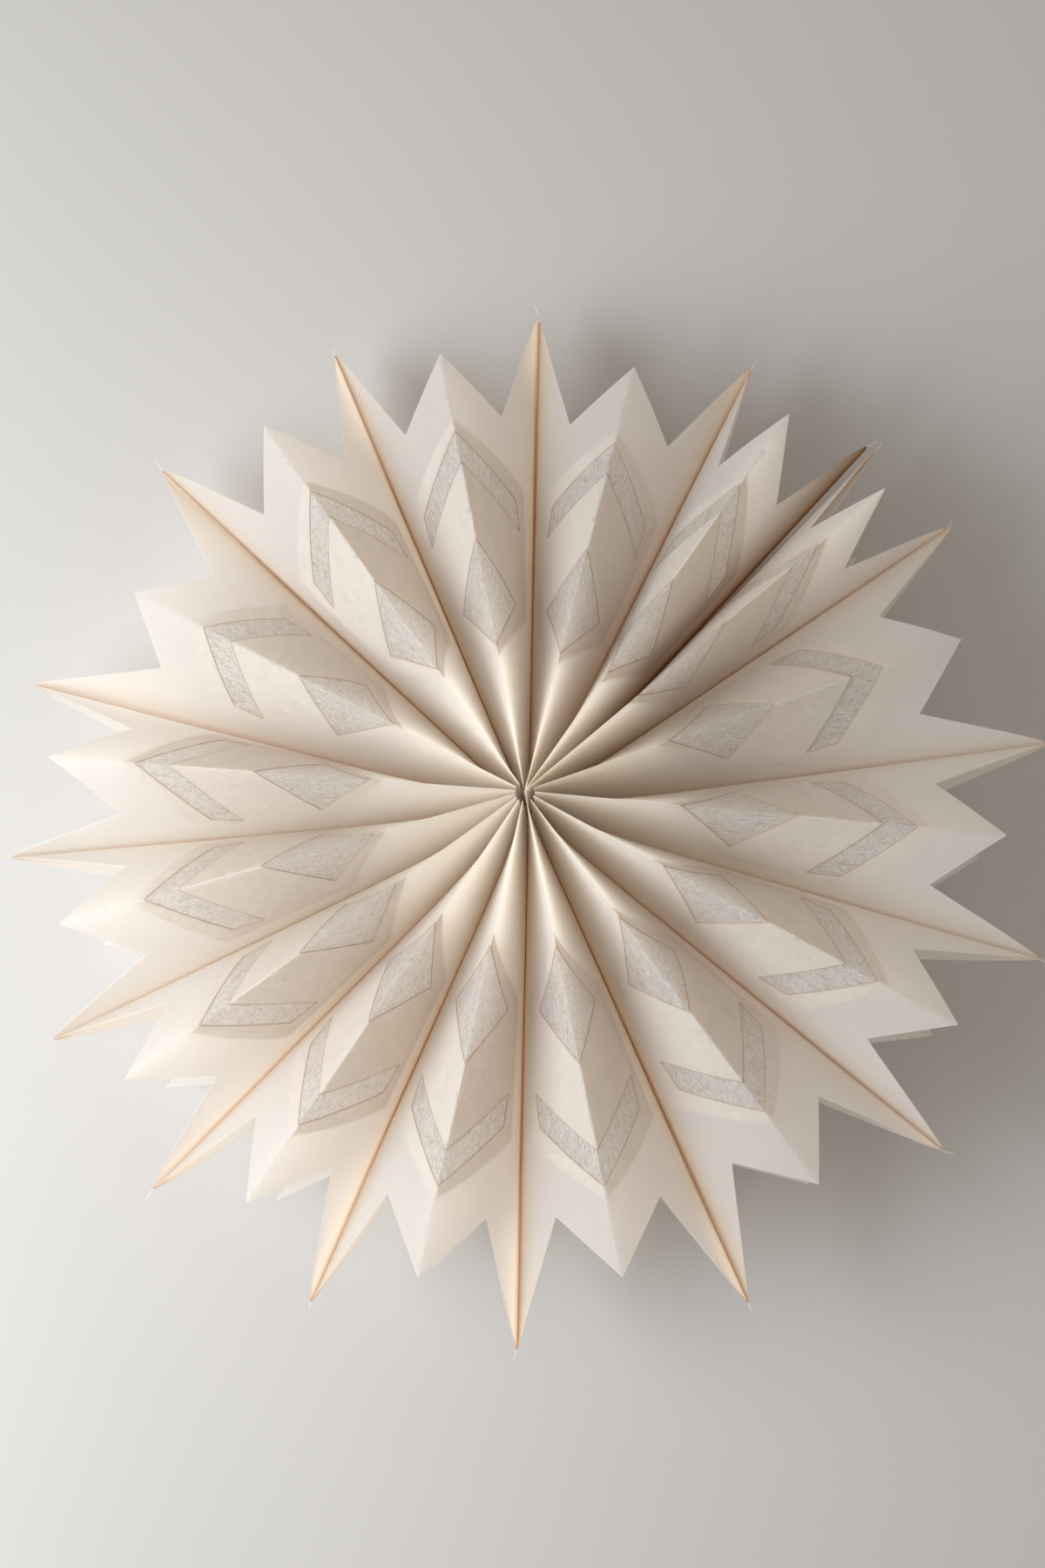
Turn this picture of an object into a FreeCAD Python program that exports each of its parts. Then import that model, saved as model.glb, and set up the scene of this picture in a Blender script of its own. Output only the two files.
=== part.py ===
import FreeCAD, Part
import math
import os

# Round paper star of sixteen flat bags.
# Each bag is one folded sheet: two faces joined by a front and a back fold, closed at the hub,
# open at the rim, with a kite window and a chevron window across each fold and thin paper
# behind them. The star is drawn level about Z, its top towards +Y, and then leaned to its rest.

# Driving sizes in millimetres. Reach is measured along the paper from the hub's axis. A share
# runs across half a face, 0 on the fold and 1 on the glued centre line. Half a face is wider
# by bag_spare than the widest bag opens to each side, and arm_rise is the height of an arm's end.
SIZES = {
    "tip_reach": 300.0,
    "fold_reach": 267.0,
    "bag_spare": 4.9,
    "hub_ring": 5.5,
    "glued_end": 22.0,
    "sheet": 0.4,
    "glue_gap": 0.1,
    "thin_sheet": 0.15,
    "thin_gap": 0.1,
    "notch_share": 0.51,
    "notch_reach": 228.0,
    "kite_low": 85.5,
    "kite_side_share": 0.54,
    "kite_side_reach": 115.5,
    "kite_top": 150.0,
    "arrow_low": 198.0,
    "arrow_top": 217.0,
    "arm_in_share": 0.66,
    "arm_in_reach": 161.0,
    "arm_out_share": 0.62,
    "arm_rise": 18.0,
    "thin_border": 7.0,
    "thin_side_share": 0.74,
    "cutter_spare": 6.0,
}

# Directions of the glued centre lines in degrees, clockwise from the star's top. The first and
# the last bag aren't glued to each other: their shared edge is the narrow pair of directions.
SEAM_START = 43.1
SEAM_END = 42.2
GLUE_LINES = [55.3, 82.2, 106.0, 129.3, 155.8, 180.9, 203.5, 224.4, 244.1, 264.9,
              284.5, 313.1, 336.9, 360.7, 386.0]

starts = [SEAM_START, *GLUE_LINES]
ends = [*GLUE_LINES, SEAM_END + 360]

# The bags beside the open seam sit a little nearer to the hub, by number, in millimetres.
SLIPPED_IN = {1: 4.5, 15: 3.5, 16: 5.5}

# How a face bends across: lines between flat strips, as shares from the glued line to the
# fold. The slope at the fold is a little more than the straight chord's, up to a flattest one.
STRIP_ENDS = [0.0, 0.14, 0.32, 0.56, 1.0]
SLOPE_RATIO = 1.35
SHARE_STEP = 0.1
FLATTEST = math.radians(88)

# Numbers of the bags that touch the ground: one by its hub end and two by their back tips.
HUB_CONTACT = 13
TIP_CONTACTS = (11, 16)

UP = FreeCAD.Vector(0, 0, 1)

doc = FreeCAD.newDocument("paper_star")
sheet = doc.addObject("Spreadsheet::Sheet", "sizes")
for row, (alias, value) in enumerate(SIZES.items(), start=1):
    sheet.set(f"A{row}", alias)
    sheet.set(f"B{row}", str(value))
    sheet.setAlias(f"B{row}", alias)
doc.recompute()


def size(alias):
    return float(sheet.get(alias))


def bag_half():
    """Half the width of a face: every bag is cut to the one that opens widest."""
    widest = max(end - start for start, end in zip(starts, ends))
    return size("tip_reach") * math.sin(math.radians(widest / 2)) + size("bag_spare")


class Bag:
    """The form of one bag in its own frame: X along its folds, Y across, Z through its depth."""

    def __init__(self, start, end, slip):
        self.turn = (start + end) / 2
        self.slip = slip
        half_angle = math.radians((end - start) / 2)
        self.half = bag_half()
        self.reach = size("tip_reach")
        self.rim = self.rim_points(self.reach * math.sin(half_angle))

    def rim_points(self, half_width):
        """Rim points (along, across, depth) of the lines between strips, glued line first."""
        chord = math.asin(half_width / self.half)
        fold_slope = min(SLOPE_RATIO * chord, FLATTEST)
        low, high = 1.0, 40.0
        for _ in range(40):
            power = (low + high) / 2
            strips = self.strips(fold_slope, power)
            if sum(step * math.sin(slope) for step, slope in strips) < half_width:
                low = power
            else:
                high = power
        across, depth = half_width, 0.0
        points = [(math.sqrt(self.reach ** 2 - across ** 2), across, depth)]
        for share, (step, slope) in zip(STRIP_ENDS[1:], strips):
            across -= step * math.sin(slope)
            depth += step * math.cos(slope)
            drop = self.half * share - depth
            points.append((math.sqrt(self.reach ** 2 - across ** 2 - drop ** 2), across, depth))
        return points

    def strips(self, fold_slope, power):
        """Each strip's width and its slope away from the depth direction at the rim."""
        strips = []
        for first, last in zip(STRIP_ENDS, STRIP_ENDS[1:]):
            middle = (first + last) / 2
            strips.append((self.half * (last - first), fold_slope * (1 - (1 - middle) ** power)))
        return strips

    def section(self, along, inset):
        """Quarter outline across the bag at a place along it, moved in by an inset."""
        points = []
        for share, (rim_along, across, depth) in zip(STRIP_ENDS, self.rim):
            part = along / rim_along
            hub_depth = self.half * share
            side = across * part - size("glue_gap") * (1 - share)
            points.append((side, hub_depth + (depth - hub_depth) * part))
        return points if inset == 0 else inset_outline(points, inset)

    def plan(self, share, reach):
        """Where a point of the flat face lands in plan: along and across the bag."""
        place = next(n for n in range(1, len(STRIP_ENDS)) if 1 - share <= STRIP_ENDS[n] + 1e-9)
        first, last = STRIP_ENDS[place - 1], STRIP_ENDS[place]
        blend = (1 - share - first) / (last - first)
        ends = []
        for n in (place - 1, place):
            along, across, _ = self.rim[n]
            part = (reach - self.slip) / self.reach
            ends.append((along * part, across * part - size("glue_gap") * (1 - STRIP_ENDS[n])))
        return tuple(a + (b - a) * blend for a, b in zip(*ends))

    def fold_point(self, along, side):
        """A point on the front fold (side 1) or the back fold (side -1), in the star's frame."""
        depth = self.section(along, 0)[-1][1]
        angle = math.radians(self.turn)
        return FreeCAD.Vector(along * math.sin(angle), along * math.cos(angle), side * depth)


def inset_outline(points, inset):
    """Moves a quarter outline's edges in by the inset; its ends stay on the mirror lines."""
    edges = []
    for (y1, z1), (y2, z2) in zip(points, points[1:]):
        length = math.hypot(y2 - y1, z2 - z1)
        normal = ((z1 - z2) / length, (y2 - y1) / length)
        edges.append((normal[0], normal[1], normal[0] * y1 + normal[1] * z1 + inset))
    moved = [(edges[0][2] / edges[0][0], 0.0)]
    for (a1, b1, c1), (a2, b2, c2) in zip(edges, edges[1:]):
        across_product = a1 * b2 - a2 * b1
        moved.append(((c1 * b2 - c2 * b1) / across_product, (a1 * c2 - a2 * c1) / across_product))
    moved.append((0.0, edges[-1][2] / edges[-1][1]))
    return moved


def ring(bag, along, inset):
    """Closed outline of the bag's section: the quarter outline mirrored both ways."""
    quarter = bag.section(along, inset)
    front = quarter + [(-y, z) for y, z in reversed(quarter[:-1])]
    back = [(y, -z) for y, z in reversed(front[1:-1])]
    return [FreeCAD.Vector(along, y, z) for y, z in front + back]


def stations():
    """Places along a bag where its facets meet: hub, glued end, past the rim, clear of it."""
    past_rim = size("tip_reach") + size("cutter_spare")
    return [size("hub_ring"), size("glued_end"), past_rim, past_rim + size("cutter_spare")]


def tube(bag, first, last, inset):
    """Closed solid of the bag's outer form, or of that form moved in, between two stations."""
    rings = [ring(bag, along, inset) for along in stations()[first:last + 1]]
    faces = [Part.Face(Part.makePolygon(points + points[:1])) for points in (rings[0], rings[-1])]
    for near, far in zip(rings, rings[1:]):
        for n in range(len(near)):
            following = (n + 1) % len(near)
            for corners in ((near[n], near[following], far[n]),
                            (near[following], far[following], far[n])):
                faces.append(Part.Face(Part.makePolygon([*corners, corners[0]])))
    solid = Part.Solid(Part.Shell(faces))
    return solid if solid.Volume > 0 else solid.reversed()


def outline(bag, corners):
    """Plan outline of half a cut in the flat face, from its corners."""
    return [bag.plan(share, reach) for share, reach in corners]


def plan_face(half, depth):
    """Flat face of a half outline and its mirror image, at a depth."""
    other = [(along, -across) for along, across in reversed(half) if abs(across) > 1e-9]
    points = [FreeCAD.Vector(along, across, depth) for along, across in half + other]
    return Part.Face(Part.makePolygon(points + points[:1]))


def shaped(name, shape):
    """A document object that holds a form made from the sheet's sizes."""
    feature = doc.addObject("Part::Feature", name)
    feature.Shape = shape
    return feature


def prism(name, face, length):
    """Cutter raised along the bag's depth, as long as the sheet's formula says."""
    cutter = doc.addObject("Part::Extrusion", name)
    cutter.Base = shaped(name + "_outline", face)
    cutter.DirMode = "Custom"
    cutter.Dir = UP
    cutter.Solid = True
    cutter.setExpression("LengthFwd", length)
    return cutter


def boolean(kind, name, base, tool):
    piece = doc.addObject(kind, name)
    piece.Base = base
    piece.Tool = tool
    return piece


def kite_outline(bag):
    return outline(bag, [(0, size("kite_low")), (size("kite_side_share"), size("kite_side_reach")),
                         (0, size("kite_top"))])


def arrow_outline(bag):
    arm_out = size("arm_in_reach") + size("arm_rise")
    return outline(bag, [(0, size("arrow_low")), (size("arm_in_share"), size("arm_in_reach")),
                         (size("arm_out_share"), arm_out), (0, size("arrow_top"))])


def rim_outline(bag):
    """What lies beyond the cut rim: short tip on the fold, notch, long tip on the glued line."""
    cut = outline(bag, [(0, size("fold_reach")), (size("notch_share"), size("notch_reach"))])
    slant = (size("tip_reach") - size("notch_reach")) / (1 - size("notch_share"))
    for first, last in reversed(list(zip(STRIP_ENDS, STRIP_ENDS[1:]))):
        share = 1 - (first + last) / 2
        if share > size("notch_share") + SHARE_STEP:
            cut.append(bag.plan(share, size("tip_reach") - slant * (1 - share)))
    cut.append(bag.plan(1, size("tip_reach")))
    spare = size("cutter_spare")
    tip_along, tip_across = cut[-1]
    far = size("tip_reach") + 2 * spare
    return cut + [(tip_along + spare, tip_across + spare), (far, tip_across + spare), (far, 0)]


def paper_bag(bag, number):
    """One folded sheet, with its two windows and its rim cut through both folds at once."""
    sheet_form = tube(bag, 0, 2, 0).cut(tube(bag, 1, 3, size("sheet")))
    piece = shaped(f"folded_sheet_{number:02d}", sheet_form)
    through = "2 * sizes.tip_reach"
    cuts = [("kite_cut", kite_outline(bag)), ("arrow_cut", arrow_outline(bag)),
            ("rim_cut", rim_outline(bag))]
    for word, half in cuts:
        cutter = prism(f"{word}_tool_{number:02d}", plan_face(half, -size("tip_reach")), through)
        name = f"paper_bag_{number:02d}" if word == "rim_cut" else f"{word}_{number:02d}"
        piece = boolean("Part::Cut", name, piece, cutter)
    return piece


def window_paper(bag, number, side):
    """Thin paper inside one fold, under both of its windows."""
    word = "front" if side > 0 else "back"
    border = size("thin_border")
    share = size("thin_side_share")
    half = outline(bag, [(0, size("kite_low") - border), (share, size("kite_side_reach") - border),
                         (share, size("arm_in_reach") + size("arm_rise") + border),
                         (0, size("arrow_top") + border)])
    inset = size("sheet") + size("thin_gap")
    depth = 0 if side > 0 else -size("tip_reach")
    patch = prism(f"patch_{word}_{number:02d}", plan_face(half, depth), "sizes.tip_reach")
    skin = shaped(f"skin_{word}_{number:02d}", tube(bag, 1, 2, inset))
    under = shaped(f"under_{word}_{number:02d}", tube(bag, 1, 2, inset + size("thin_sheet")))
    block = boolean("Part::Common", f"block_{word}_{number:02d}", skin, patch)
    return boolean("Part::Cut", f"window_paper_{word}_{number:02d}", block, under)


def resting_place(bags):
    """Leans the star onto the hub's back end and two back tips."""
    hub = bags[HUB_CONTACT - 1].fold_point(size("hub_ring"), -1)
    tips = []
    for number in TIP_CONTACTS:
        bag = bags[number - 1]
        tips.append(bag.fold_point(bag.plan(0, size("fold_reach"))[0], -1))
    normal = (tips[0] - hub).cross(tips[1] - hub)
    lean = FreeCAD.Rotation(normal if normal.z > 0 else normal * -1, UP)
    centre = lean.multVec(FreeCAD.Vector(0, 0, hub.z))
    ground = lean.multVec(hub).z
    return FreeCAD.Placement(FreeCAD.Vector(-centre.x, -centre.y, -ground), lean)


bags = [Bag(start, end, SLIPPED_IN.get(number, 0))
        for number, (start, end) in enumerate(zip(starts, ends), start=1)]
rest = resting_place(bags)

pieces = []
for number, bag in enumerate(bags, start=1):
    turn = FreeCAD.Placement(FreeCAD.Vector(), FreeCAD.Rotation(UP, 90 - bag.turn))
    made = [paper_bag(bag, number), window_paper(bag, number, 1), window_paper(bag, number, -1)]
    for piece in made:
        piece.Label = piece.Name
        piece.Placement = rest.multiply(turn)
    pieces += made
doc.recompute()

os.makedirs("parts", exist_ok=True)
for piece in pieces:
    shape = piece.Shape
    if {"Invalid", "Error"} & set(piece.State) or shape.isNull() or not shape.isValid():
        raise RuntimeError(f"{piece.Label} was not made")
    shape.exportStep(f"parts/{piece.Label}.step")
    print(piece.Label, len(shape.Solids), round(shape.Volume), "mm3")
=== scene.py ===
# %% [markdown]
# A round star of sixteen paper bags, lying on a pale floor.
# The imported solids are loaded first, as a frame that never moves. Every piece made here is
# drawn over them, so the star keeps its real size and its exact place.

# %% Load the frame
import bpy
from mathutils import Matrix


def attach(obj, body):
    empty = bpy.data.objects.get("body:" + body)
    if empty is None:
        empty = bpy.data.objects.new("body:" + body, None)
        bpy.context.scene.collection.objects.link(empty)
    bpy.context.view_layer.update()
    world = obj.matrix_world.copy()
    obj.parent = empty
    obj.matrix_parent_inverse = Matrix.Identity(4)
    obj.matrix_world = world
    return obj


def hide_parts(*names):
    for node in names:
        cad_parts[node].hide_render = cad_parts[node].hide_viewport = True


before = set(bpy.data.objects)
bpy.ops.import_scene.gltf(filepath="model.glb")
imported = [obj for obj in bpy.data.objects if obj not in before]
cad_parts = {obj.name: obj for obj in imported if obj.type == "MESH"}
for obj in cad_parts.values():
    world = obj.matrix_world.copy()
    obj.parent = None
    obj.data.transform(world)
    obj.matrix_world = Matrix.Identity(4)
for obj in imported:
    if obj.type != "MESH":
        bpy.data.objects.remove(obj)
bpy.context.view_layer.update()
print("solids loaded:", len(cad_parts))

# %% [markdown]
# The star is described by a few real sizes in millimetres, the same ones that the solids use.
# A face of a bag is described flat, as paper on a table: a share runs from 0 on the fold to 1
# on the glued centre line, and a reach runs along the paper from the hub's axis.

# %% Driving sizes
import math
import bpy
import numpy as np
from mathutils import Matrix, Vector, geometry, noise

MM = 0.001
TIP_REACH = 300.0
FOLD_REACH = 267.0
BAG_SPARE = 4.9
HUB_RING = 5.5
GLUE_GAP = 0.1
NOTCH = (0.51, 228.0)
KITE = [(0.0, 85.5), (0.54, 115.5), (0.0, 150.0)]
ARROW = [(0.0, 198.0), (0.66, 161.0), (0.62, 179.0), (0.0, 217.0)]
RIM = [(0.0, FOLD_REACH), NOTCH, (1.0, TIP_REACH)]
SEAM_START = 43.1
SEAM_END = 42.2
GLUE_LINES = [55.3, 82.2, 106.0, 129.3, 155.8, 180.9, 203.5, 224.4, 244.1, 264.9,
              284.5, 313.1, 336.9, 360.7, 386.0]
SLIPPED_IN = {1: 4.5, 15: 3.5, 16: 5.5}
starts = [SEAM_START, *GLUE_LINES]
ends = [*GLUE_LINES, SEAM_END + 360]
widest = max(end - start for start, end in zip(starts, ends))
BAG_HALF = TIP_REACH * math.sin(math.radians(widest / 2)) + BAG_SPARE
print("bags:", len(starts), "half a face is", round(BAG_HALF, 1), "mm wide")

# %% [markdown]
# Each half face bends: it leaves its glued line upright and leans over toward the fold. The
# solids bend in four flat strips. Here the same law runs in many narrow strips, which makes a
# smooth sheet. All lines from the hub outward stay straight, as on any bent paper.

# %% The form of one bag
SLOPE_RATIO = 1.35
FLATTEST = math.radians(88)
POWER_RANGE = (1.0, 40.0)
HALVINGS = 40
CUT_STEP = 2.5
COARSE_STRIPS = np.array([0.0, 0.14, 0.32, 0.56, 1.0])
FINE_STRIPS = np.linspace(0.0, 1.0, 49)


class Bag:
    """The form of one bag in its own frame: X along its folds, Y across, Z through its depth."""

    def __init__(self, number, start, end, strip_ends):
        self.number = number
        self.turn = (start + end) / 2
        self.slip = SLIPPED_IN.get(number, 0.0)
        self.strip_ends = strip_ends
        half_width = TIP_REACH * math.sin(math.radians((end - start) / 2))
        fold_slope = min(SLOPE_RATIO * math.asin(half_width / BAG_HALF), FLATTEST)
        low, high = POWER_RANGE
        for _ in range(HALVINGS):
            power = (low + high) / 2
            steps, slopes = self.strips(fold_slope, power)
            if (steps * np.sin(slopes)).sum() < half_width:
                low = power
            else:
                high = power
        self.rim_across = half_width - np.concatenate(([0], np.cumsum(steps * np.sin(slopes))))
        self.rim_depth = np.concatenate(([0], np.cumsum(steps * np.cos(slopes))))
        drop = BAG_HALF * strip_ends - self.rim_depth
        self.rim_along = np.sqrt(TIP_REACH ** 2 - self.rim_across ** 2 - drop ** 2)

    def strips(self, fold_slope, power):
        middles = (self.strip_ends[1:] + self.strip_ends[:-1]) / 2
        return BAG_HALF * np.diff(self.strip_ends), fold_slope * (1 - (1 - middles) ** power)

    def place(self, share, reach):
        """Points of a front half face, from shares and reaches, in the bag's frame."""
        from_glue = 1 - share
        part = (reach - self.slip) / TIP_REACH
        along = np.interp(from_glue, self.strip_ends, self.rim_along) * part
        across = np.interp(from_glue, self.strip_ends, self.rim_across) * part
        hub_depth = BAG_HALF * from_glue
        rim_depth = np.interp(from_glue, self.strip_ends, self.rim_depth)
        depth = hub_depth + (rim_depth - hub_depth) * part
        return np.stack([along, across - GLUE_GAP * share, depth], axis=-1)

    def cut(self, corners, bow):
        """Flat places along cuts: straight from above with no bow, straight when flat with 1."""
        angles = np.arctan2(self.rim_across, self.rim_along)[::-1]
        lengths = np.hypot(self.rim_across, self.rim_along)[::-1]
        ends = []
        for share, reach in corners:
            angle = np.interp(share, 1 - self.strip_ends[::-1], angles)
            length = (reach - self.slip) / TIP_REACH * np.interp(angle, angles, lengths)
            ends.append(Vector((length * math.cos(angle), length * math.sin(angle))))
        plan = np.array([tuple(point) for point in walk(ends, CUT_STEP)])
        angle = np.arctan2(plan[:, 1], plan[:, 0])
        share = np.interp(angle, angles, 1 - self.strip_ends[::-1])
        part = np.hypot(plan[:, 0], plan[:, 1]) / np.interp(angle, angles, lengths)
        above = zip(share * BAG_HALF, part * TIP_REACH + self.slip)
        counts = [max(1, round((b - a).length / CUT_STEP)) for a, b in zip(ends, ends[1:])]
        straight = flat(corners)
        level = [straight[0]]
        for count, start, end in zip(counts, straight, straight[1:]):
            level += [start.lerp(end, (n + 1) / count) for n in range(count)]
        return [Vector(place).lerp(other, bow) for place, other in zip(above, level)]


def flat(corners):
    """Corners as places on the flat sheet, in millimetres from the fold and from the hub."""
    return [Vector((share * BAG_HALF, reach)) for share, reach in corners]


def walk(corners, step):
    """Points along a chain of straight lines, no further apart than about one step."""
    points = [corners[0]]
    for start, end in zip(corners, corners[1:]):
        count = max(1, round((end - start).length / step))
        points += [start.lerp(end, (n + 1) / count) for n in range(count)]
    return points


def all_bags(strip_ends):
    spans = enumerate(zip(starts, ends), start=1)
    return [Bag(number, start, end, strip_ends) for number, (start, end) in spans]


bags = all_bags(FINE_STRIPS)
print("fold of bag 1 at the rim, mm deep:", round(float(bags[0].rim_depth[-1]), 1))

# %% [markdown]
# The star doesn't lie flat. It leans about seven degrees onto the back end of its hub and the
# back tips of two bags. That lean is worked out from the coarse form, as for the solids, so
# both models share one resting place.

# %% The resting place
HUB_CONTACT = 13
TIP_CONTACTS = (11, 16)
UP = Vector((0, 0, 1))


def turn_of(bag):
    return Matrix.Rotation(math.radians(90 - bag.turn), 4, "Z")


def back_fold_point(bag, reach, slip):
    part = (reach - slip) / TIP_REACH
    depth = BAG_HALF + (bag.rim_depth[-1] - BAG_HALF) * part
    return turn_of(bag) @ Vector((bag.rim_along[-1] * part, 0, -depth))


coarse = all_bags(COARSE_STRIPS)
hub_bag = coarse[HUB_CONTACT - 1]
hub_part = HUB_RING / hub_bag.rim_along[-1] * TIP_REACH
hub_foot = back_fold_point(hub_bag, hub_part, 0.0)
tip_feet = [back_fold_point(coarse[n - 1], FOLD_REACH, coarse[n - 1].slip) for n in TIP_CONTACTS]
floor_normal = (tip_feet[0] - hub_foot).cross(tip_feet[1] - hub_foot)
if floor_normal.z < 0:
    floor_normal.negate()
lean = floor_normal.rotation_difference(UP).to_matrix().to_4x4()
centre = lean @ Vector((0, 0, hub_foot.z))
ground = (lean @ hub_foot).z
rest = Matrix.Translation(Vector((-centre.x, -centre.y, -ground))) @ lean
print("lean in degrees:", round(math.degrees(floor_normal.angle(UP)), 2))

# %% [markdown]
# Paper parts are cut flat and then folded, and the mesh is made the same way. A quarter of the
# bag is one half face, seen flat. Its outline, windows and rim become the edges of a fine
# triangle net. Rows of points just inside each cut carry the thin browned line of its edge.

# %% The flat net
COLUMN_STEP = 2.6
ROW_STEP = 5.5
EDGE_ROWS = (0.45, 1.2)
EDGE_CLEAR = 0.4
SIDE_STEP = 0.001
OFF_FOLD = 0.02
MERGE_DISTANCE = 0.0001
FAR_AWAY = 1000.0
WINDOW_BOW = 0.5
FOLD_COLUMNS = [0.0, 0.3, 0.6, 0.9, 1.7]
GLUE_COLUMNS = [0.0, 0.6, 1.5]


def distance_to(points, chains):
    """Distance of flat points from the nearest cut."""
    best = np.full(len(points), FAR_AWAY)
    for chain in chains:
        for start, end in zip(chain, chain[1:]):
            a = np.array(start)
            run = np.array(end) - a
            along = np.clip((points - a) @ run / (run @ run), 0, 1)
            best = np.minimum(best, np.linalg.norm(points - a - along[:, None] * run, axis=1))
    return best


def inside(points, outline):
    """Which flat points lie inside a closed outline."""
    result = np.zeros(len(points), bool)
    x, y = points[:, 0], points[:, 1]
    for a, b in zip(outline, outline[1:] + outline[:1]):
        if a.y == b.y:
            continue
        crosses = (a.y > y) != (b.y > y)
        result ^= crosses & (x < (b.x - a.x) * (y - a.y) / (b.y - a.y) + a.x)
    return result


def columns(width):
    """Distances from the fold: close together at the fold and at the glued line."""
    middle = np.arange(FOLD_COLUMNS[-1] + COLUMN_STEP, width - GLUE_COLUMNS[-1] - 1, COLUMN_STEP)
    return [*FOLD_COLUMNS, *middle, *[width - place for place in reversed(GLUE_COLUMNS)]]


def edge_rows(chain):
    """Rows of points beside a chain of cuts."""
    points = []
    for start, end in zip(chain, chain[1:]):
        side = (end - start).normalized().orthogonal()
        middle = (start + end) / 2
        points += [middle + side * row * sign for row in EDGE_ROWS for sign in (-1, 1)]
    return points


def flat_net(outline, holes, cuts, width):
    """Triangles of a flat sheet with holes, as points and index triples."""
    low = min(point.y for point in outline)
    high = max(point.y for point in outline)
    rows = np.arange(low + ROW_STEP, high, ROW_STEP)
    grid = np.array([(x, y) for x in columns(width) for y in rows])
    to_side = (SIDE_STEP, 0)
    grid = grid[inside(grid + to_side, outline) | inside(grid - to_side, outline)]
    grid = grid[distance_to(grid, cuts) > EDGE_ROWS[-1] + EDGE_CLEAR]
    beside = np.array([tuple(p) for chain in cuts for p in edge_rows(chain)] or [(-1, -1)])
    beside = beside[inside(beside, outline) & (beside[:, 0] > OFF_FOLD)]
    points, edges = [], []
    for loop in [outline, *holes]:
        dense = walk(loop + loop[:1], CUT_STEP)[:-1]
        first = len(points)
        points += dense
        edges += [(first + n, first + (n + 1) % len(dense)) for n in range(len(dense))]
    points += [Vector(place) for place in np.vstack([grid, beside])]
    found, _, faces, *_ = geometry.delaunay_2d_cdt(points, edges, [], 0, MERGE_DISTANCE)
    flat_points = np.array([tuple(p) for p in found])
    faces = np.array([face for face in faces if len(face) == 3])
    middles = flat_points[faces].mean(axis=1)
    keep = inside(middles, outline)
    for hole in holes:
        keep &= ~inside(middles, hole)
    return flat_points, faces[keep]


def bag_net(bag):
    """The flat net of a bag's quarter, and its two windows."""
    kite, arrow = (bag.cut(corners, WINDOW_BOW) for corners in (KITE, ARROW))
    rim = bag.cut(RIM, 0.0)
    outline = [Vector((0, HUB_RING)), *rim, Vector((BAG_HALF, HUB_RING))]
    return flat_net(outline, [kite, arrow], [kite, arrow, rim], BAG_HALF), [kite, arrow]


test_net, _ = bag_net(bags[0])
print("points and triangles in a flat quarter:", len(test_net[0]), len(test_net[1]))

# %% [markdown]
# Four copies of the quarter make a bag: left and right of the fold, front and back. They share
# their points on the folds and on the glued lines, so the bag is one closed sleeve of paper.
# The last millimetre before a fold is rounded, because real paper never folds dead sharp.

# %% Fold the net into a sleeve
QUARTERS = [(1, 1), (-1, 1), (1, -1), (-1, -1)]
FOLD_ROUND = 0.9
UNEVEN = 0.7
UNEVEN_SCALE = 55.0
UNEVEN_FROM = 30.0
UNEVEN_RUN = 90.0
SEED_STEPS = (7.3, 3.1, 5.7)
TOUCH = 0.01


def uneven(bag, side, front, share, reach):
    """Small swell of a face, none at its fold, its glued line and the hub."""
    swell = np.sin(np.pi * share) * np.clip((reach - UNEVEN_FROM) / UNEVEN_RUN, 0, 1) * UNEVEN
    per_bag, per_side, per_face = SEED_STEPS
    first = per_bag * bag.number + per_side * side
    seeds = [noise.noise(Vector((s * BAG_HALF / UNEVEN_SCALE + first, r / UNEVEN_SCALE,
                                 per_face * front))) for s, r in zip(share, reach)]
    return swell * np.array(seeds)


def fold_quarter(bag, side, front, points, depth_in):
    """Places the points of one flat quarter; depth_in moves them to the inside of the sleeve."""
    share = points[:, 0] / BAG_HALF
    reach = points[:, 1]
    near = FOLD_ROUND / BAG_HALF
    placed = bag.place(np.maximum(share, near), reach)
    fold = bag.place(np.zeros_like(share), reach)
    part = (1 - np.clip(share / near, 0, 1)) / 2
    rounded = part > 0
    along_mix = 2 * part * (1 - part)
    placed[:, 2] = np.where(rounded, (1 - along_mix) * placed[:, 2] + along_mix * fold[:, 2],
                            placed[:, 2])
    placed[:, 1] = np.where(rounded, (1 - 2 * part) * placed[:, 1], placed[:, 1])
    beside = bag.place(np.clip(share, near, 1 - near) - near / 2, reach)
    after = bag.place(np.clip(share, near, 1 - near) + near / 2, reach)
    run = after - beside
    normal = np.stack([np.zeros_like(share), -run[:, 2], run[:, 1]], axis=-1)
    normal /= np.linalg.norm(normal, axis=1)[:, None]
    normal[:, 1] *= np.clip(share / near, 0, 1)
    normal /= np.linalg.norm(normal, axis=1)[:, None]
    placed += normal * (uneven(bag, side, front, share, reach) - depth_in)[:, None]
    placed[:, 1] = np.where(share < TOUCH / BAG_HALF, 0, placed[:, 1])
    placed *= (1, side, front)
    return placed


def sleeve(bag, points, faces, quarters, depth_in):
    """Joined quarters: places, flat places, front or back, and faces."""
    on_fold = points[:, 0] < TOUCH
    on_glue = points[:, 0] > BAG_HALF - TOUCH
    key = {}
    places, flats, owners, triangles = [], [], [], []
    for side, front in quarters:
        folded = fold_quarter(bag, side, front, points, depth_in)
        index = []
        for n in range(len(points)):
            name = (n, 1 if on_fold[n] else side, 1 if on_glue[n] else front)
            if name not in key:
                key[name] = len(places)
                places.append(folded[n])
                flats.append((points[n, 0] * side, points[n, 1]))
                owners.append(front)
            index.append(key[name])
        turned = np.array(index)[faces]
        triangles.append(turned if side * front > 0 else turned[:, ::-1])
    return np.array(places), np.array(flats), np.array(owners), np.vstack(triangles)


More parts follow.
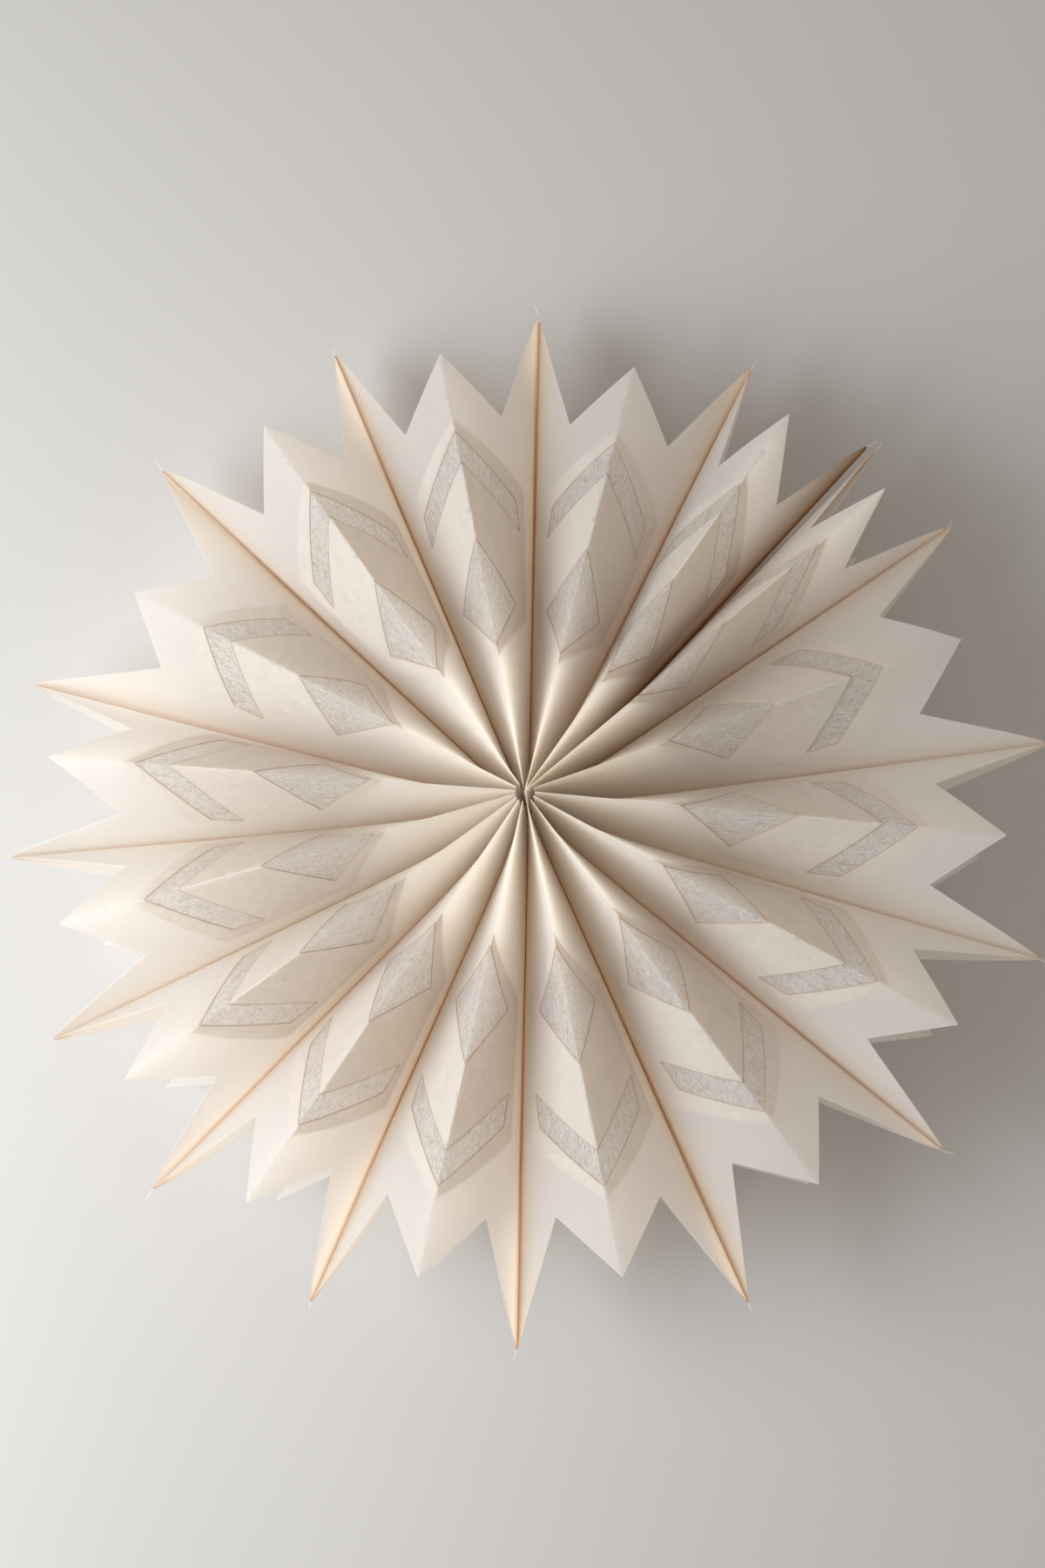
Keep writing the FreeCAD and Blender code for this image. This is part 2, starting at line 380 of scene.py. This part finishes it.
test = sleeve(bags[0], *test_net, QUARTERS, 0.0)
print("points and triangles in a sleeve:", len(test[0]), len(test[3]))

# %% [markdown]
# A sheet shows its thickness only where it is cut. So the sleeve is one surface, which lets the
# light through it once, as real paper does, and narrow strips turn in along every cut edge.

# %% Give the sleeve its thickness
BAG_PAPER = 0.3
THIN_PAPER = 0.12
THIN_GAP = 0.05
FLOOR_CLEAR = 0.05


def edged_sheet(bag, net, quarters, lift, thickness):
    """Sheet with cut edges: places, flat places, front or back, and faces."""
    places, flats, owners, faces = sleeve(bag, *net, quarters, lift)
    inner = sleeve(bag, *net, quarters, lift + thickness)[0]
    edges = np.vstack([faces[:, [0, 1]], faces[:, [1, 2]], faces[:, [2, 0]]])
    _, first, times = np.unique(np.sort(edges, axis=1), axis=0, return_index=True,
                                return_counts=True)
    border = edges[first[times == 1]]
    rim_points = np.unique(border)
    turned_in = dict(zip(rim_points, range(len(places), len(places) + len(rim_points))))
    strips = [(b, a, turned_in[a], turned_in[b]) for a, b in border]
    return (np.vstack([places, inner[rim_points]]), np.vstack([flats, flats[rim_points]]),
            np.concatenate([owners, owners[rim_points]]), [*map(tuple, faces), *strips])


def into_world(bag, places):
    """From the bag's frame in millimetres to the scene in metres, never under the floor."""
    turned = rest @ turn_of(bag)
    grid = np.array(turned)
    world = (places @ grid[:3, :3].T + grid[:3, 3]) * MM
    world[:, 2] = np.maximum(world[:, 2], FLOOR_CLEAR * MM)
    return world


test_parts = edged_sheet(bags[0], test_net, QUARTERS, 0.0, BAG_PAPER)
print("faces with the cut edges turned in:", len(test_parts[3]))

# %% [markdown]
# A finish has to know where it is on the sheet: how far from a cut, a fold or a glued line, and
# how far from the hub. Each mesh carries such distances at its points, as named attributes in
# millimetres, and its flat sheet as a UV map. They are exact, need no image, and move with it.

# %% Places that the finishes use
PINCH_REACH = 84.0
PINCH_SPREAD = 3.0
PINCH_TURN = 2.4
PALEST_VALLEY_SHADE = 0.25
THIN_BORDER = 7.0
THIN_SIDE_SHARE = 0.74
UV_UNIT = 100.0
SHARP_FROM = math.radians(38)
patch = flat([(0, KITE[0][1] - THIN_BORDER), (0, ARROW[3][1] + THIN_BORDER),
              (THIN_SIDE_SHARE, ARROW[2][1] + THIN_BORDER),
              (THIN_SIDE_SHARE, KITE[1][1] - THIN_BORDER)])


def pinch_reach(bag, across):
    """Reach of the small pinch kink's painted shade on the nearer glued line, the same for both
    neighbours.
    """
    line = bag.number - (across > 0)
    return PINCH_REACH + PINCH_SPREAD * np.sin(line * PINCH_TURN)


def valley_shade_strength(bag, across):
    """Strength of the nearer valley's painted shade: full where it runs across the light."""
    line = np.where(across > 0, starts[bag.number - 1], ends[bag.number - 1])
    return PALEST_VALLEY_SHADE + (1 - PALEST_VALLEY_SHADE) * np.cos(np.radians(line)) ** 2


def patch_depth(points):
    """Distance of flat points inside the edge of a window paper, negative outside it."""
    edge = distance_to(points, [patch[1:] + patch[:1]])
    return np.where(inside(points, patch), edge, -edge)


def make_piece(name, bag, parts, cuts, material):
    """A mesh object with its flat places as UV, and its distances from cuts and glued lines."""
    places, flats, owners, faces = parts
    mesh = bpy.data.meshes.new(name)
    mesh.from_pydata(into_world(bag, places).tolist(), [], [list(map(int, f)) for f in faces])
    for label, values in (("cut_distance", distance_to(np.abs(flats), cuts)),
                          ("glue_distance", BAG_HALF - np.abs(flats[:, 0])),
                          ("fold_distance", np.abs(flats[:, 0])),
                          ("reach", flats[:, 1]),
                          ("seam_side", (flats[:, 0] < 0) * float(bag.number == len(starts))),
                          ("valley_shade_strength", valley_shade_strength(bag, flats[:, 0])),
                          ("patch_depth", patch_depth(np.abs(flats))),
                          ("pinch_reach", pinch_reach(bag, flats[:, 0]))):
        mesh.attributes.new(label, "FLOAT", "POINT").data.foreach_set("value", values)
    layer = mesh.uv_layers.new(name="flat_sheet")
    corners = np.empty(len(mesh.loops), int)
    mesh.loops.foreach_get("vertex_index", corners)
    # Each bag, front and back, is cut from its own place on the endless paper.
    shift = np.stack([owners * 1.3 + 4.7 * bag.number, owners * 0.4 + 2.1 * bag.number], axis=-1)
    layer.data.foreach_set("uv", (flats / UV_UNIT + shift)[corners].ravel())
    mesh.shade_smooth()
    mesh.set_sharp_from_angle(angle=SHARP_FROM)
    mesh.materials.append(material)
    piece = bpy.data.objects.new(name, mesh)
    bpy.context.scene.collection.objects.link(piece)
    return piece


print("a window paper reaches from", patch[0].y, "to", patch[1].y, "mm from the hub")

# %% [markdown]
# Paper scatters light and lets some through, so no face of the star is ever quite dark. A
# diffuse shader does the first and a translucent one the second. Small helpers keep the node
# trees short: each adds one node and returns the socket that carries its result.

# %% Tools for the finishes
BUMP_STRENGTH = 0.35
PAPER_ROUGHNESS = 0.75
PAPER_GLOSS = 0.25


def new_material(name):
    material = bpy.data.materials.new(name)
    material.use_nodes = True
    material.node_tree.nodes.clear()
    return material, material.node_tree.nodes, material.node_tree.links


def add(nodes, kind, **settings):
    node = nodes.new(kind)
    for key, value in settings.items():
        setattr(node, key, value)
    return node


def attribute(nodes, name):
    return add(nodes, "ShaderNodeAttribute", attribute_name=name).outputs["Fac"]


def ramp(nodes, links, source, low, high, start=0.0, end=1.0):
    """Maps a value from one range to another, held at both ends."""
    node = add(nodes, "ShaderNodeMapRange", clamp=True)
    node.inputs["From Min"].default_value = low
    node.inputs["From Max"].default_value = high
    node.inputs["To Min"].default_value = start
    node.inputs["To Max"].default_value = end
    links.new(source, node.inputs["Value"])
    return node.outputs["Result"]


def feed(links, socket, value):
    """Gives a socket a number or a colour, or links it to the output of another node."""
    if isinstance(value, (int, float)):
        socket.default_value = value
    elif isinstance(value, tuple):
        socket.default_value = (*value, 1)
    else:
        links.new(value, socket)


def math_node(nodes, links, operation, first, second):
    node = add(nodes, "ShaderNodeMath", operation=operation)
    feed(links, node.inputs[0], first)
    feed(links, node.inputs[1], second)
    return node.outputs["Value"]


def mix_colour(nodes, links, amount, first, second, blend="MIX"):
    node = add(nodes, "ShaderNodeMix", data_type="RGBA", blend_type=blend)
    feed(links, node.inputs[0], amount)
    feed(links, node.inputs[6], first)
    feed(links, node.inputs[7], second)
    return node.outputs[2]


def noise_node(nodes, links, scale, detail, source, distortion=0.0):
    node = add(nodes, "ShaderNodeTexNoise")
    node.inputs["Scale"].default_value = scale
    node.inputs["Detail"].default_value = detail
    node.inputs["Distortion"].default_value = distortion
    links.new(source, node.inputs["Vector"])
    return node.outputs["Fac"]


def sheet_shader(nodes, links, colour, through, share_through, height, bump_distance):
    """Diffuse paper that lets part of the light through, with a fine uneven surface."""
    bump = add(nodes, "ShaderNodeBump")
    bump.inputs["Strength"].default_value = BUMP_STRENGTH
    bump.inputs["Distance"].default_value = bump_distance
    links.new(height, bump.inputs["Height"])
    body = add(nodes, "ShaderNodeBsdfPrincipled")
    body.inputs["Roughness"].default_value = PAPER_ROUGHNESS
    body.inputs["Specular IOR Level"].default_value = PAPER_GLOSS
    links.new(colour, body.inputs["Base Color"])
    links.new(bump.outputs["Normal"], body.inputs["Normal"])
    glow = add(nodes, "ShaderNodeBsdfTranslucent")
    links.new(through, glow.inputs["Color"])
    links.new(bump.outputs["Normal"], glow.inputs["Normal"])
    mixer = add(nodes, "ShaderNodeMixShader")
    feed(links, mixer.inputs["Fac"], share_through)
    links.new(body.outputs["BSDF"], mixer.inputs[1])
    links.new(glow.outputs["BSDF"], mixer.inputs[2])
    output = add(nodes, "ShaderNodeOutputMaterial")
    links.new(mixer.outputs["Shader"], output.inputs["Surface"])


# %% [markdown]
# The real paper is off-white where light falls on it and orange to brown deep in the valleys,
# where the light has passed through sheet after sheet. A renderer needs very many bounces for
# that. So that shade is painted: two marks beside each glued line warm and darken the paper's
# colour, a broad one and a deep one, and they are strongest in the valleys that run across the
# light. The open seam gets painted shade too.

# %% Marks on the bag paper
VALLEY_REACH = (60.0, 105.0)
VALLEY_WIDTH = (34.0, 27.0)
VALLEY_FADE = 1.6
CORE_WIDTH = (1.0, 9.0)
CORE_FADE_REACH = (190.0, 290.0)
CORE_AT_TIP = 0.5
SEAM_WIDTH = 46.0
SEAM_FADE = 1.2
FOLD_HIGHLIGHT_WIDTH = (0.2, 0.8)
PINCH_LINE = (0.1, 0.9)
PINCH_RUN = (2.0, 6.0)
CUT_LINE = (0.15, 0.75)


def painted_valley_shade(nodes, links, from_glue, reach):
    """Strength of the painted warm shade of a valley, of its deep painted shade and of the
    painted shade of the open seam.
    """
    tone = attribute(nodes, "valley_shade_strength")
    width = ramp(nodes, links, reach, *VALLEY_REACH, *VALLEY_WIDTH)
    valley = math_node(nodes, links, "DIVIDE", from_glue, width)
    valley = ramp(nodes, links, valley, 0.0, 1.0, 1.0, 0.0)
    valley = math_node(nodes, links, "POWER", valley, VALLEY_FADE)
    valley = math_node(nodes, links, "MULTIPLY", valley, tone)
    core = ramp(nodes, links, from_glue, *CORE_WIDTH, 1.0, 0.0)
    core = math_node(nodes, links, "MULTIPLY", core, tone)
    fade = ramp(nodes, links, reach, *CORE_FADE_REACH, 1.0, CORE_AT_TIP)
    core = math_node(nodes, links, "MULTIPLY", core, fade)
    seam = ramp(nodes, links, from_glue, 0.0, SEAM_WIDTH, 1.0, 0.0)
    seam = math_node(nodes, links, "POWER", seam, SEAM_FADE)
    seam = math_node(nodes, links, "MULTIPLY", seam, attribute(nodes, "seam_side"))
    return valley, core, seam


def line_marks(nodes, links, from_glue, reach):
    """Strength of the painted highlight on a fold, of the painted shade of a pinch kink and of
    the browned line along a cut.
    """
    fold = ramp(nodes, links, attribute(nodes, "fold_distance"), *FOLD_HIGHLIGHT_WIDTH, 0.7, 0.0)
    from_pinch = math_node(nodes, links, "SUBTRACT", reach, attribute(nodes, "pinch_reach"))
    from_pinch = math_node(nodes, links, "ABSOLUTE", from_pinch, 0)
    pinch = ramp(nodes, links, from_pinch, *PINCH_LINE, 0.8, 0.0)
    near_glue = ramp(nodes, links, from_glue, *PINCH_RUN, 1.0, 0.0)
    pinch = math_node(nodes, links, "MULTIPLY", pinch, near_glue)
    cut = ramp(nodes, links, attribute(nodes, "cut_distance"), *CUT_LINE, 0.6, 0.0)
    return fold, pinch, cut


print("deep core of a valley, mm wide on each side:", CORE_WIDTH[1])

# %% [markdown]
# The paper itself is smooth, with a faint cloudiness and a few tiny fibres. Each fold has a
# painted highlight line, each pinch kink a short line of painted shade, and each window a thin
# brown one. Where a window paper is glued under it, the sheet lets more light through, so that
# the pair isn't brighter than the single sheet.

# %% White bag paper
PAPER_LIGHT = (0.975, 0.972, 0.968)
PAPER_CLOUD = (0.965, 0.955, 0.94)
FOLD_PAINTED_HIGHLIGHT = (0.97, 0.955, 0.93)
BROWNED_AND_PINCH_SHADE = (0.50, 0.31, 0.17)
VALLEY_PAINTED_WARM_SHADE = (0.99, 0.80, 0.57)
VALLEY_PAINTED_DEEP_SHADE = (0.46, 0.20, 0.07)
SEAM_SHADE = (0.30, 0.17, 0.07)
FIBRE = (0.60, 0.45, 0.32)
THROUGH_WARM = (0.995, 0.945, 0.875)
SHARE_THROUGH = 0.72
SHARE_THROUGH_BACKED = 0.76
PATCH_EDGE = 0.3
CLOUD_SCALE = 6
FLECK_SCALE = 90
TOOTH_SCALE = 160
SWELL_SCALE = 9
SWELL_STRENGTH = 3.0
PAPER_BUMP = 0.0002


def paper_height(nodes, links, place):
    """Fine tooth of the paper over a slow swell."""
    tooth = noise_node(nodes, links, TOOTH_SCALE, 5, place)
    swell = noise_node(nodes, links, SWELL_SCALE, 3, place)
    swell = math_node(nodes, links, "MULTIPLY", swell, SWELL_STRENGTH)
    return math_node(nodes, links, "ADD", tooth, swell)


def bag_paper():
    material, nodes, links = new_material("white_bag_paper")
    place = add(nodes, "ShaderNodeUVMap", uv_map="flat_sheet").outputs["UV"]
    from_glue = attribute(nodes, "glue_distance")
    reach = attribute(nodes, "reach")
    valley, core, seam = painted_valley_shade(nodes, links, from_glue, reach)
    fold, pinch, cut = line_marks(nodes, links, from_glue, reach)
    cloud = ramp(nodes, links, noise_node(nodes, links, CLOUD_SCALE, 4, place), 0.35, 0.65)
    fleck = noise_node(nodes, links, FLECK_SCALE, 2, place, 1.5)
    fleck = ramp(nodes, links, fleck, 0.76, 0.80, 0.0, 0.55)
    colour = mix_colour(nodes, links, cloud, PAPER_LIGHT, PAPER_CLOUD)
    # Painted shade: the valleys are warmed and darkened beside each glued line, deepest at the
    # line.
    colour = mix_colour(nodes, links, valley, colour, VALLEY_PAINTED_WARM_SHADE, "MULTIPLY")
    colour = mix_colour(nodes, links, core, colour, VALLEY_PAINTED_DEEP_SHADE, "MULTIPLY")
    # Painted shade of the open seam.
    colour = mix_colour(nodes, links, seam, colour, SEAM_SHADE, "MULTIPLY")
    # Painted highlight along each fold.
    colour = mix_colour(nodes, links, fold, colour, FOLD_PAINTED_HIGHLIGHT)
    # Painted shade in the small pinch kink, then the browned line along each cut.
    colour = mix_colour(nodes, links, pinch, colour, BROWNED_AND_PINCH_SHADE)
    colour = mix_colour(nodes, links, cut, colour, BROWNED_AND_PINCH_SHADE)
    colour = mix_colour(nodes, links, fleck, colour, FIBRE)
    # The light let through carries the same painted valley and seam shade.
    through = mix_colour(nodes, links, valley, THROUGH_WARM, VALLEY_PAINTED_WARM_SHADE, "MULTIPLY")
    through = mix_colour(nodes, links, core, through, VALLEY_PAINTED_DEEP_SHADE, "MULTIPLY")
    through = mix_colour(nodes, links, seam, through, SEAM_SHADE, "MULTIPLY")
    through = mix_colour(nodes, links, cut, through, BROWNED_AND_PINCH_SHADE)
    share_through = ramp(nodes, links, attribute(nodes, "patch_depth"), -PATCH_EDGE, PATCH_EDGE,
                         SHARE_THROUGH, SHARE_THROUGH_BACKED)
    height = paper_height(nodes, links, place)
    sheet_shader(nodes, links, colour, through, share_through, height, PAPER_BUMP)
    return material


white_paper = bag_paper()
print("finish made:", white_paper.name)

# %% [markdown]
# The window paper is a thin sheet of long plant fibres. They show as short wandering strokes,
# darker and lighter than the sheet. Stretched noise gives such strokes: three sets, each turned
# another way, cut to thin bands where the noise crosses its middle value.

# %% Thin fibrous paper
THIN_GROUND = (0.93, 0.91, 0.89)
THIN_STROKE = (0.42, 0.35, 0.31)
THIN_BRIGHT = (0.97, 0.96, 0.94)
THIN_THROUGH = (0.97, 0.90, 0.82)
THIN_SHARE_THROUGH = 0.65
THIN_CLOUD_SCALE = 14
THIN_BUMP = 0.0003
STROKE_TURNS = (18, 75, 131)
STROKE_STRETCH = 0.22
DARK_SCALES = (62, 71, 80)
LIGHT_SCALES = (48, 55, 62)
DARK_BAND = 0.030
LIGHT_BAND = 0.022
DARK_STRENGTH = 0.8
LIGHT_STRENGTH = 0.35
LIGHT_TURN = 31


def strokes(nodes, links, place, turn, scale, band):
    """Thin wandering lines along one direction."""
    mapping = add(nodes, "ShaderNodeMapping")
    mapping.inputs["Rotation"].default_value = (0, 0, math.radians(turn))
    mapping.inputs["Scale"].default_value = (1.0, STROKE_STRETCH, 1.0)
    links.new(place, mapping.inputs["Vector"])
    value = noise_node(nodes, links, scale, 3, mapping.outputs["Vector"], 0.9)
    off = math_node(nodes, links, "ABSOLUTE", math_node(nodes, links, "SUBTRACT", value, 0.5), 0)
    return ramp(nodes, links, off, 0.0, band, 1.0, 0.0)


def fibrous_paper():
    material, nodes, links = new_material("thin_fibrous_paper")
    place = add(nodes, "ShaderNodeUVMap", uv_map="flat_sheet").outputs["UV"]
    cloud = ramp(nodes, links, noise_node(nodes, links, THIN_CLOUD_SCALE, 5, place), 0.3, 0.7)
    colour = mix_colour(nodes, links, cloud, THIN_GROUND, THIN_BRIGHT)
    height = cloud
    for turn, dark_scale, light_scale in zip(STROKE_TURNS, DARK_SCALES, LIGHT_SCALES):
        dark = strokes(nodes, links, place, turn, dark_scale, DARK_BAND)
        light = strokes(nodes, links, place, turn + LIGHT_TURN, light_scale, LIGHT_BAND)
        dark_amount = math_node(nodes, links, "MULTIPLY", dark, DARK_STRENGTH)
        light_amount = math_node(nodes, links, "MULTIPLY", light, LIGHT_STRENGTH)
        colour = mix_colour(nodes, links, dark_amount, colour, THIN_STROKE)
        colour = mix_colour(nodes, links, light_amount, colour, THIN_BRIGHT)
        height = math_node(nodes, links, "ADD", height, dark)
    through = mix_colour(nodes, links, 0.5, colour, THIN_THROUGH)
    sheet_shader(nodes, links, colour, through, THIN_SHARE_THROUGH, height, THIN_BUMP)
    return material


thin_paper = fibrous_paper()
print("finish made:", thin_paper.name)

# %% [markdown]
# The long tips end in tiny curled slivers, where the last point of the sheet bent as it was cut.
# Each is a narrow strip that tapers and curls a little to one side and up.

# %% Curled wisps at the long tips
WISP_LENGTH = 5.0
WISP_WIDTH = 1.3
WISP_STATIONS = 7
WISP_ROOT = 1.5
WISP_BEND = 0.45
WISP_LIFT = (0.25, 0.2)
WISP_TAPER = 0.6
WISP_TURNS = (1.9, 2.7, 3.3)
WISP_PLACE_ON_SHEET = (BAG_HALF / 2, TIP_REACH - 5)


def wisp(bag, side):
    """A thin curled sliver at one long tip, as places and faces in the bag's frame."""
    line = bag.number - (side > 0)
    root = bag.place(np.array([1.0]), np.array([TIP_REACH - WISP_ROOT]))[0] * (1, side, 1)
    way = root / np.linalg.norm(root)
    across = np.cross((0, 0, 1), way)
    bend_turn, lift_turn, length_turn = WISP_TURNS
    bend = math.sin(line * bend_turn) * WISP_BEND
    lift = WISP_LIFT[0] + WISP_LIFT[1] * math.cos(line * lift_turn)
    length = WISP_LENGTH * (1 + 0.3 * math.sin(line * length_turn))
    places, faces = [], []
    for n in range(WISP_STATIONS):
        part = n / (WISP_STATIONS - 1)
        middle = root + way * (WISP_ROOT + length) * part
        middle = middle + (across * bend + np.array([0, 0, lift])) * length * part ** 2
        half = WISP_WIDTH / 2 * (1 - WISP_TAPER * part)
        for dy, dz in ((-0.5, -1), (0.5, -1), (0.5, 1), (-0.5, 1)):
            places.append(middle + across * dy * BAG_PAPER + np.array([0, 0, dz * half]))
    for n in range(WISP_STATIONS - 1):
        faces += [(4 * n + k, 4 * n + (k + 1) % 4, 4 * n + 4 + (k + 1) % 4, 4 * n + 4 + k)
                  for k in range(4)]
    last = 4 * (WISP_STATIONS - 1)
    faces += [(3, 2, 1, 0), (last, last + 1, last + 2, last + 3)]
    return np.array(places), faces


def with_wisps(bag, parts):
    """Adds the wisps that belong to a bag: one at its end, and one at the start of the seam."""
    places, flats, owners, faces = parts
    for side in ((-1, 1) if bag.number == 1 else (-1,)):
        more, more_faces = wisp(bag, side)
        first = len(places)
        places = np.vstack([places, more])
        flats = np.vstack([flats, [WISP_PLACE_ON_SHEET] * len(more)])
        owners = np.concatenate([owners, [1] * len(more)])
        faces = faces + [tuple(first + k for k in face) for face in more_faces]
    return places, flats, owners, faces


print("wisp length about", WISP_LENGTH, "mm")

# %% [markdown]
# Each bag is one mesh: its sleeve and the wisps that the cutter left at its long tips.

# %% The sixteen bags
windows = {}
for bag in bags:
    net, windows[bag] = bag_net(bag)
    parts = with_wisps(bag, edged_sheet(bag, net, QUARTERS, 0.0, BAG_PAPER))
    piece = make_piece(f"folded_bag_{bag.number:02d}", bag, parts, windows[bag], white_paper)
    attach(piece, "root")
    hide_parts(f"paper_bag_{bag.number:02d}")
print("bags made:", len(bags), "faces each about", len(parts[3]))

# %% [markdown]
# One patch of thin paper lies inside each fold, front and back, under both of its windows. It
# is folded with the bag, so it is made from the same flat map and set in by the bag's paper.

# %% The window papers
patch_net = flat_net(patch, [], [], THIN_SIDE_SHARE * BAG_HALF)
for bag in bags:
    for word, front in (("front", 1), ("back", -1)):
        quarters = [(1, front), (-1, front)]
        parts = edged_sheet(bag, patch_net, quarters, BAG_PAPER + THIN_GAP, THIN_PAPER)
        piece = make_piece(f"fibre_paper_{word}_{bag.number:02d}", bag, parts, windows[bag],
                           thin_paper)
        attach(piece, "root")
        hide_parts(f"window_paper_{word}_{bag.number:02d}")
print("window papers made:", 2 * len(bags), "faces each", len(parts[3]))

# %% [markdown]
# The star lies on a plain pale floor with a soft matte coat.

# %% Floor
FLOOR_HALF = 4.0
FLOOR_PALE = (0.54, 0.52, 0.50)
FLOOR_CLOUD = (0.527, 0.508, 0.49)
FLOOR_ROUGHNESS = 0.7
FLOOR_GLOSS = 0.3


def floor_finish():
    material, nodes, links = new_material("floor_coat")
    place = add(nodes, "ShaderNodeTexCoord").outputs["Object"]
    cloud = ramp(nodes, links, noise_node(nodes, links, 2.5, 4, place), 0.3, 0.7)
    colour = mix_colour(nodes, links, cloud, FLOOR_PALE, FLOOR_CLOUD)
    body = add(nodes, "ShaderNodeBsdfPrincipled")
    body.inputs["Roughness"].default_value = FLOOR_ROUGHNESS
    body.inputs["Specular IOR Level"].default_value = FLOOR_GLOSS
    links.new(colour, body.inputs["Base Color"])
    output = add(nodes, "ShaderNodeOutputMaterial")
    links.new(body.outputs["BSDF"], output.inputs["Surface"])
    return material


floor_mesh = bpy.data.meshes.new("floor")
corner_signs = ((-1, -1), (1, -1), (1, 1), (-1, 1))
floor_corners = [(x * FLOOR_HALF, y * FLOOR_HALF, 0) for x, y in corner_signs]
floor_mesh.from_pydata(floor_corners, [], [(0, 1, 2, 3)])
floor_mesh.materials.append(floor_finish())
floor = bpy.data.objects.new("floor", floor_mesh)
bpy.context.scene.collection.objects.link(floor)
print("floor is", 2 * FLOOR_HALF, "m wide")

# %% [markdown]
# One broad soft lamp stands to the left and a little toward the lower edge of the picture, as a
# window would. Its light fades across the floor. The folds toward it are bright, and a warm
# even light from all round keeps their far sides in soft shade.

# %% Light
KEY_WAY = Vector((-0.75, -0.14, 0.60)).normalized()
KEY_DISTANCE = 1.35
KEY_WIDTH = 1.1
KEY_POWER = 24.0
KEY_COLOUR = (0.90, 0.955, 1.0)
ROOM_LIGHT = (1.0, 0.94, 0.88)
ROOM_STRENGTH = 0.47

lamp_data = bpy.data.lights.new("window_light", "AREA")
lamp_data.shape = "DISK"
lamp_data.size = KEY_WIDTH
lamp_data.energy = KEY_POWER
lamp_data.color = KEY_COLOUR
lamp = bpy.data.objects.new("window_light", lamp_data)
lamp.location = KEY_WAY * KEY_DISTANCE
lamp.rotation_euler = (-KEY_WAY).to_track_quat("-Z", "Y").to_euler()
bpy.context.scene.collection.objects.link(lamp)

world = bpy.data.worlds.new("room")
world.use_nodes = True
world.node_tree.nodes["Background"].inputs["Color"].default_value = (*ROOM_LIGHT, 1)
world.node_tree.nodes["Background"].inputs["Strength"].default_value = ROOM_STRENGTH
bpy.context.scene.world = world
print("lamp at", [round(v, 2) for v in lamp.location])

# %% [markdown]
# The camera looks almost straight down from 1.4 m, 4.3 degrees off the vertical. Its place and
# its lens were found by matching many corners of the star with the photograph.

# %% Camera
CAMERA_PLACE = Vector((-50.0, -64.4, 1395.1)) * MM
CAMERA_VIEW = Vector((0.03110, 0.06757, -0.99723))
CAMERA_UP = Vector((-0.00931, 0.99769, 0.06731))
CAMERA_LENS = 52.72

camera_data = bpy.data.cameras.new("camera")
camera_data.lens = CAMERA_LENS
camera_data.sensor_fit = "AUTO"
camera = bpy.data.objects.new("camera", camera_data)
side = CAMERA_VIEW.cross(CAMERA_UP).normalized()
upward = side.cross(CAMERA_VIEW).normalized()
grid = Matrix((side, upward, -CAMERA_VIEW.normalized())).transposed().to_4x4()
camera.matrix_world = Matrix.Translation(CAMERA_PLACE) @ grid
bpy.context.scene.collection.objects.link(camera)
bpy.context.scene.camera = camera
bpy.context.scene.view_settings.view_transform = "Standard"
print("camera looks along", [round(v, 3) for v in CAMERA_VIEW])
